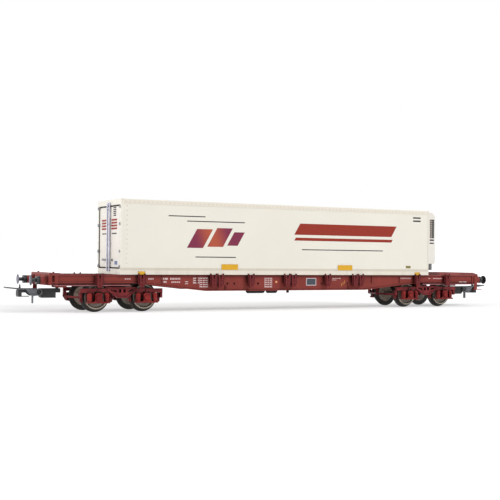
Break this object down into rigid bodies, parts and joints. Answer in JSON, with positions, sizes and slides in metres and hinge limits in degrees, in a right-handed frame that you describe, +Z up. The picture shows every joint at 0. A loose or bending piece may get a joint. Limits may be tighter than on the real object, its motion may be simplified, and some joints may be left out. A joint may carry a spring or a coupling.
{
  "type": "scale model container flatcar with refrigerated swap body",
  "caption": "Model railway bogie container flatcar with fish-belly sills, swivelling bogies, turning wheelsets, hook-and-loop couplers and a lift-off refrigerated container.",
  "frame": {"origin": "on the floor under the wheels, midway between the two bogie pivots", "axes": "+X along the wagon towards the container's refrigeration unit, +Y across the wagon, +Z up"},
  "size_m": [0.2444, 0.0304, 0.0461],
  "materials": {
    "frame_red": "matt moulded plastic, oxide red",
    "bogie_red": "matt moulded plastic, darker oxide red",
    "black_plastic": "matt black moulded plastic",
    "coupler_black": "matt dark grey moulded plastic",
    "loop_metal": "blackened stamped steel, worn grey",
    "axle_steel": "blackened steel",
    "wheel_black": "chemically blackened metal wheel, pale turned rim, brown hub",
    "container_white": "satin cream-white paint on plastic",
    "bar_grey": "pale lavender grey paint",
    "casting_yellow": "yellow paint"
  },
  "bodies": {
    "wagon": {"side_sill_right": "frame_red", "side_sill_left": "frame_red", "cross_members": "frame_red", "end_deck_front": "frame_red", "end_deck_rear": "frame_red", "container_brackets_right": "frame_red", "container_brackets_left": "frame_red", "container_pins": "frame_red", "corner_steps": "frame_red", "brake_reservoirs": "frame_red", "brake_pipe": "frame_red", "bolster_front": "frame_red", "centre_sills_front": "frame_red", "headstock_front": "frame_red", "buffers_front": "black_plastic", "coupler_mount_front": "frame_red", "bolster_rear": "frame_red", "centre_sills_rear": "frame_red", "headstock_rear": "frame_red", "buffers_rear": "black_plastic", "coupler_mount_rear": "frame_red"},
    "bogie_front": {"bogie_frame_front": "bogie_red", "axleboxes_front": "bogie_red", "springs_front": "bogie_red", "brake_beams_front": "bogie_red"},
    "coupler_front": {"coupler_shank_front": "coupler_black", "coupler_hook_front": "coupler_black"},
    "loop_front": {"coupler_loop_front": "loop_metal"},
    "bogie_rear": {"bogie_frame_rear": "bogie_red", "axleboxes_rear": "bogie_red", "springs_rear": "bogie_red", "brake_beams_rear": "bogie_red"},
    "coupler_rear": {"coupler_shank_rear": "coupler_black", "coupler_hook_rear": "coupler_black"},
    "loop_rear": {"coupler_loop_rear": "loop_metal"},
    "wheelset_front_outer": {"axle_front_outer": "axle_steel", "wheels_front_outer": "wheel_black"},
    "wheelset_front_inner": {"axle_front_inner": "axle_steel", "wheels_front_inner": "wheel_black"},
    "wheelset_rear_inner": {"axle_rear_inner": "axle_steel", "wheels_rear_inner": "wheel_black"},
    "wheelset_rear_outer": {"axle_rear_outer": "axle_steel", "wheels_rear_outer": "wheel_black"},
    "container": {"container_side_right": "container_white", "container_side_left": "container_white", "container_door_right": "container_white", "container_door_left": "container_white", "door_lock_bars": "bar_grey", "corner_castings": "casting_yellow", "container_floor": "container_white", "container_roof": "container_white", "container_front_wall": "container_white", "container_rear_frame": "container_white", "refrigeration_unit": "container_white"}
  },
  "joints": [
    {"name": "bogie_front_swivel", "type": "hinge", "parent": "wagon", "child": "bogie_front", "pos_m": [0.0775, 0, 0.009], "axis": [0, 0, 1], "range_deg": [-10, 10]},
    {"name": "bogie_rear_swivel", "type": "hinge", "parent": "wagon", "child": "bogie_rear", "pos_m": [-0.0775, 0, 0.009], "axis": [0, 0, 1], "range_deg": [-10, 10]},
    {"name": "wheelset_front_outer_spin", "type": "hinge", "parent": "bogie_front", "child": "wheelset_front_outer", "pos_m": [0.08785, 0, 0.00615], "axis": [0, 1, 0], "continuous": true},
    {"name": "wheelset_front_inner_spin", "type": "hinge", "parent": "bogie_front", "child": "wheelset_front_inner", "pos_m": [0.06715, 0, 0.00615], "axis": [0, 1, 0], "continuous": true},
    {"name": "wheelset_rear_inner_spin", "type": "hinge", "parent": "bogie_rear", "child": "wheelset_rear_inner", "pos_m": [-0.06715, 0, 0.00615], "axis": [0, 1, 0], "continuous": true},
    {"name": "wheelset_rear_outer_spin", "type": "hinge", "parent": "bogie_rear", "child": "wheelset_rear_outer", "pos_m": [-0.08785, 0, 0.00615], "axis": [0, 1, 0], "continuous": true},
    {"name": "coupler_front_swing", "type": "hinge", "parent": "wagon", "child": "coupler_front", "pos_m": [0.1012, 0, 0.0075], "axis": [0, 0, 1], "range_deg": [-12, 12]},
    {"name": "coupler_front_lift", "type": "hinge", "parent": "coupler_front", "child": "loop_front", "pos_m": [0.1092, 0, 0.00805], "axis": [0, -1, 0], "range_deg": [0, 15]},
    {"name": "coupler_rear_swing", "type": "hinge", "parent": "wagon", "child": "coupler_rear", "pos_m": [-0.1012, 0, 0.0075], "axis": [0, 0, 1], "range_deg": [-12, 12]},
    {"name": "coupler_rear_lift", "type": "hinge", "parent": "coupler_rear", "child": "loop_rear", "pos_m": [-0.1092, 0, 0.00805], "axis": [0, 1, 0], "range_deg": [0, 15]},
    {"name": "container_lift", "type": "slide", "parent": "wagon", "child": "container", "axis": [0, 0, 1], "range_m": [0, 0.035]}
  ]
}
